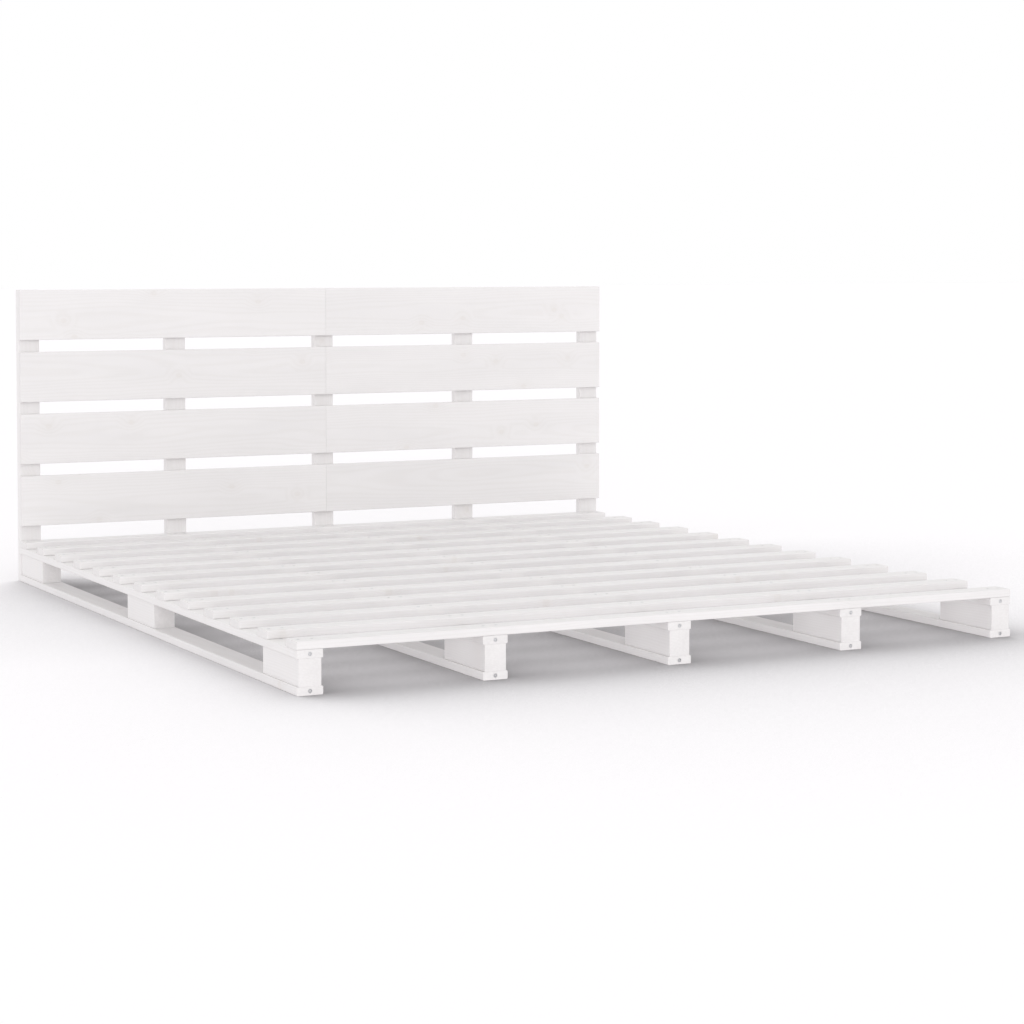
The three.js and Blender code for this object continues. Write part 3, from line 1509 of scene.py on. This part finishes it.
@dataclass
class Headboard:
    """Four rows of two boards on five uprights, fixed to the head blocks by coach screws.

    Attributes:
        board_end_ease: the rounding of the boards' ends, which is fine where they meet.
        screw: the screw that holds a board.
        screw_half_rise: half the distance between a crossing's upper and lower screw.
        seam_offset: how far the screws beside the seam stand from it.
        counterbore_radius: the radius of the seat of a coach screw's head.
        counterbore_depth: how deep the seat lies in the upright's back.
        bore_radius: the radius of the bore for its shank.
        bore_steps: how many facets go round seat and bore.
        coach_shank_radius: the radius of that shank.
    """

    board_end_ease: float = 0.3 * MM
    screw: WoodScrew = WoodScrew(length=36 * MM)
    screw_half_rise: float = 36 * MM
    seam_offset: float = 14 * MM
    counterbore_radius: float = 10.5 * MM
    counterbore_depth: float = 5 * MM
    bore_radius: float = 4.5 * MM
    bore_steps: int = 36
    coach_shank_radius: float = 4 * MM

    def build(self, shop: Workshop) -> None:
        """Makes the uprights, the boards and their screws.

        Args:
            shop: the workshop.
        """
        uprights = [f"headboard_upright_{i + 1}" for i in range(RUNNER_COUNT)]
        centre = uprights.pop(RUNNER_COUNT // 2)
        seam = (-self.seam_offset, self.seam_offset)
        self._uprights(shop, Batch("side_uprights", seed=13, nodes=uprights), (0.0,))
        self._uprights(shop, Batch("centre_upright", seed=14, nodes=[centre]), seam)
        marks = self._screw_marks(uprights, (0.0,)) + self._screw_marks([centre], seam)
        shop.drive_screws(Batch("board_screws", seed=12), self.screw, marks)
        self._boards(shop)
        self._coach_screws(shop)

    def _screw_heights(self) -> list[float]:
        """Returns the heights of the screws that hold the boards."""
        rows = [middle(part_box(f"headboard_board_{i + 1}_left")).z for i in range(BOARD_ROW_COUNT)]
        return [z + side * self.screw_half_rise for z in rows for side in (-1, 1)]

    def _screw_marks(self, uprights: Sequence[str], offsets: Sequence[float]) -> list[Mark]:
        """Marks the places of board screws in the uprights' backs.

        Args:
            uprights: the uprights' CAD nodes.
            offsets: how far the screws stand from an upright's middle.

        Returns:
            The marks.
        """
        boxes = [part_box(name) for name in uprights]
        return [
            Mark(Vector((middle(box).x + offset, box[1].y - self.screw.sink, z)), Facing.TO_HEAD)
            for box in boxes
            for z in self._screw_heights()
            for offset in offsets
        ]

    def _uprights(self, shop: Workshop, batch: Batch, offsets: Sequence[float]) -> None:
        """Makes uprights that share one pattern of holes in their backs.

        Args:
            shop: the workshop.
            batch: the piece's name, seed and nodes.
            offsets: how far the board screws stand from an upright's middle.
        """
        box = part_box(batch.nodes[0])
        size, base = extent(box), middle(box).z
        back = Vector((0, 0, 1))
        profile = self.screw.countersink(size.y)
        holes = [
            Hole(Vector((z - base, offset, size.y / 2)), back, profile)
            for z in self._screw_heights()
            for offset in offsets
        ]
        seat = (
            (self.counterbore_radius, 0.0),
            (self.counterbore_radius, self.counterbore_depth),
            (self.bore_radius, self.counterbore_depth),
            (self.bore_radius, size.y + OVERRUN),
        )
        bore = Vector((middle(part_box("headboard_screw_1")).z - base, 0, size.y / 2))
        holes.append(Hole(bore, back, seat, self.bore_steps))
        upright = Timber(size.z, size.x, size.y).build("upright", Lay.UPRIGHT, holes)
        shop.copy_boards(batch, upright, Lay.UPRIGHT)

    def _boards(self, shop: Workshop) -> None:
        """Makes the eight boards.

        Args:
            shop: the workshop.
        """
        rows = range(1, BOARD_ROW_COUNT + 1)
        nodes = [f"headboard_board_{row}_{side}" for row in rows for side in ("left", "right")]
        size = extent(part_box(nodes[0]))
        timber = Timber(size.x, size.z, size.y, end_ease=self.board_end_ease)
        board = timber.build("board", Lay.BOARD)
        shop.copy_boards(Batch("headboard_boards", seed=16, nodes=nodes), board, Lay.BOARD)

    def _coach_screws(self, shop: Workshop) -> None:
        """Drives the screws that hold the uprights to the head blocks.

        Args:
            shop: the workshop.
        """
        nodes = [f"headboard_screw_{i + 1}" for i in range(RUNNER_COUNT)]
        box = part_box(nodes[0])
        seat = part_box("headboard_upright_1")[1].y - self.counterbore_depth
        screw = CoachScrew(
            head_radius=extent(box).x / 2,
            shank_radius=self.coach_shank_radius,
            length=seat - box[0].y,
            head_height=box[1].y - seat,
        )
        centres = [middle(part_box(name)) for name in nodes]
        marks = [Mark(Vector((centre.x, seat, centre.z)), Facing.TO_HEAD) for centre in centres]
        shop.drive_screws(Batch("coach_screws", seed=12, nodes=nodes), screw, marks)


@dataclass(frozen=True)
class SoftLight:
    """A wide soft light from far away.

    Attributes:
        name: the light's name.
        strength: its strength on a face that looks at it.
        comes_from: the way to it.
        spread: the angle that it covers, which softens its shadows.
    """

    name: str
    strength: float
    comes_from: Triple
    spread: float

    def hang(self) -> None:
        """Adds the light to the scene."""
        light = bpy.data.lights.new(self.name, "SUN")
        light.energy = self.strength
        light.angle = self.spread
        made = bpy.data.objects.new(self.name, light)
        made.rotation_euler = (-Vector(self.comes_from)).to_track_quat("-Z", "Y").to_euler()
        bpy.context.scene.collection.objects.link(made)


@dataclass
class Studio:
    """The pale floor, the soft lights and the camera.

    Attributes:
        focal_length: the camera's focal length in millimetres, for its sensor width.
        sensor_width: the camera's sensor width in millimetres.
        shift_y: how far the frame is shifted down, as a share of its width.
        stand: where the camera stands.
        yaw: its turn to the right from looking along the bed.
        pitch: how far it looks down.
        clip: the nearest and the farthest distance that it shows.
        floor_size: the floor's side.
        sky: the strength of the light from all round.
        sky_tone: that light's colour.
        lights: the lamps.
    """

    focal_length: float = 88.81
    sensor_width: float = 36.0
    shift_y: float = -0.126
    stand: Triple = (-2.8006, -5.7692, 0.8959)
    yaw: float = 0.4667
    pitch: float = 0.0507
    clip: Span = (0.1, 300.0)
    floor_size: float = 120.0
    sky: float = 1.0
    sky_tone: Colour = colour(1.0, 1.0, 1.0)
    lights: tuple[SoftLight, ...] = (
        SoftLight("key", 0.79, (-0.40, -0.91, 0.12), math.radians(36)),
    )

    def build(self) -> None:
        """Makes the floor, the lights and the camera."""
        self._floor()
        self._sky()
        for light in self.lights:
            light.hang()
        self._camera()
        bpy.context.scene.view_settings.view_transform = "Standard"

    def _floor(self) -> None:
        """Lays the floor."""
        half = self.floor_size / 2
        mesh = bpy.data.meshes.new("floor")
        corners = [(-half, -half, 0), (half, -half, 0), (half, half, 0), (-half, half, 0)]
        mesh.from_pydata(corners, [], [(0, 1, 2, 3)])
        mesh.materials.append(StudioFloor().material())
        new_object("floor", mesh)

    def _sky(self) -> None:
        """Sets an even white light from all round."""
        world = bpy.data.worlds.new("studio")
        world.use_nodes = True
        background = world.node_tree.nodes["Background"]
        background.inputs["Color"].default_value = self.sky_tone
        background.inputs["Strength"].default_value = self.sky
        bpy.context.scene.world = world

    def _camera(self) -> None:
        """Sets up the camera."""
        data = bpy.data.cameras.new("camera")
        data.lens = self.focal_length
        data.sensor_width = self.sensor_width
        data.shift_y = self.shift_y
        data.clip_start, data.clip_end = self.clip
        camera = bpy.data.objects.new("camera", data)
        camera.location = self.stand
        camera.rotation_euler = (QUARTER_TURN - self.pitch, 0.0, -self.yaw)
        bpy.context.scene.collection.objects.link(camera)
        bpy.context.scene.camera = camera


def main() -> None:
    """Dresses the frame and builds the studio round it."""
    logging.basicConfig(level=logging.INFO, format="%(message)s")
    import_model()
    shop = Workshop.open()
    for assembly in (Runners(), Deck(), Headboard()):
        LOG.info("%s", type(assembly).__name__)
        assembly.build(shop)
    Studio().build()


if __name__ == "__main__":
    main()
